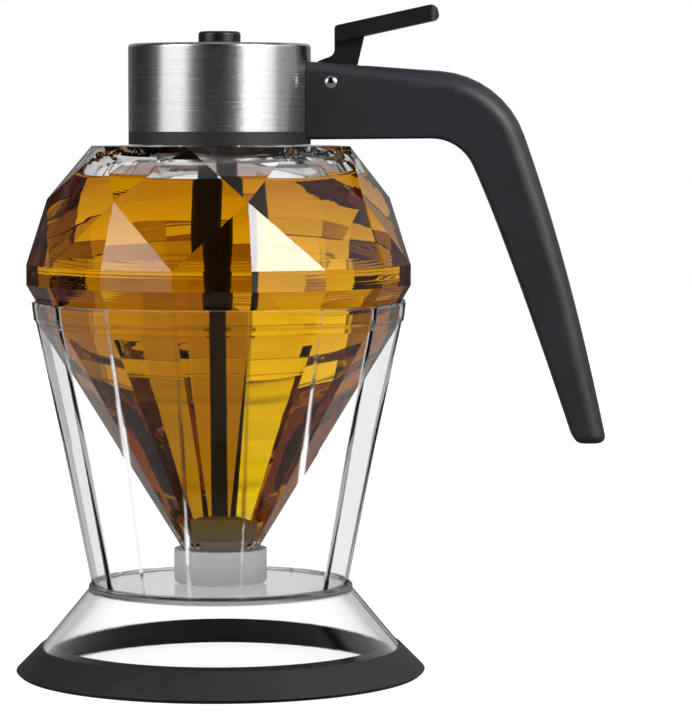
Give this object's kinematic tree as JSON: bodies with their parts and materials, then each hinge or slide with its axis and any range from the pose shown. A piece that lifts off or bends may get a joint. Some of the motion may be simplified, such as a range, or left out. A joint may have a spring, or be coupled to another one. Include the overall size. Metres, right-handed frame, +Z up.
{
  "type": "lever honey dispenser",
  "caption": "Faceted glass jar hanging in a clear stand, with a steel cap, a side handle and a thumb lever that lifts a rod valve at the tip.",
  "frame": {"origin": "the stand's axis on the surface it stands on", "axes": "+Z up along the jar's axis, +X towards the handle"},
  "size_m": [0.139, 0.0968, 0.1574],
  "materials": {
    "stand_clear": "clear moulded acrylic",
    "ring_black": "matte black rubber",
    "jar_glass": "clear cut glass",
    "silicone_frost": "frosted translucent silicone",
    "silicone_white": "white silicone",
    "lid_black": "black plastic",
    "cap_black": "charcoal plastic",
    "cap_steel": "round-brushed stainless steel",
    "handle_black": "charcoal plastic",
    "pin_chrome": "polished pin",
    "bush_black": "black plastic",
    "washer_steel": "steel washer",
    "spring_steel": "spring steel",
    "lever_black": "black plastic",
    "sleeve_dark": "black plastic",
    "rod_dark": "dark rod",
    "knob_black": "semi-gloss black plastic",
    "lift_collar_black": "black plastic"
  },
  "bodies": {
    "stand": {"stand_cup": "stand_clear", "foot_ring": "ring_black"},
    "jar": {"glass_jar": "jar_glass", "outlet_nozzle": "silicone_frost"},
    "seal": {"lid_gasket": "silicone_white"},
    "lid": {"lid_plate": "lid_black", "rod_seal": "silicone_white", "rod_sleeve": "sleeve_dark"},
    "head": {"inner_cap": "cap_black", "steel_cap": "cap_steel", "handle": "handle_black", "pivot_pin": "pin_chrome", "guide_bush": "bush_black", "spring_washer": "washer_steel", "return_spring": "spring_steel"},
    "lever": {"trigger_lever": "lever_black"},
    "valve": {"valve_rod": "rod_dark", "rod_knob": "knob_black", "lift_collar": "lift_collar_black", "valve_plug": "silicone_frost"}
  },
  "joints": [
    {"name": "jar_lift_out", "type": "slide", "parent": "stand", "child": "jar", "axis": [0, 0, 1], "range_m": [0, 0.12]},
    {"name": "head_lift_off", "type": "slide", "parent": "jar", "child": "seal", "axis": [0, 0, 1], "range_m": [0, 0.125]},
    {"name": "head_thread_rise", "type": "slide", "parent": "seal", "child": "lid", "axis": [0, 0, 1], "range_m": [0, 0.004]},
    {"name": "head_twist", "type": "hinge", "parent": "lid", "child": "head", "pos_m": [0, 0, 0.1277], "axis": [0, 0, 1], "range_deg": [0, 360]},
    {"name": "lever_press", "type": "hinge", "parent": "head", "child": "lever", "pos_m": [0.0262, 0, 0.1393], "axis": [0, 1, 0], "range_deg": [0, 15], "stiffness_Nm_per_rad": 0.139, "springref_deg": -17.39},
    {"name": "rod_slide", "type": "slide", "parent": "head", "child": "valve", "axis": [0, 0, 1], "range_m": [0, 0.0069], "deforming": ["return_spring"]}
  ],
  "couplings": [
    {"joint": "head_thread_rise", "follows": "head_twist", "m_per_rad": 0.000636},
    {"joint": "rod_slide", "follows": "lever_press", "m_per_rad": 0.026351}
  ]
}
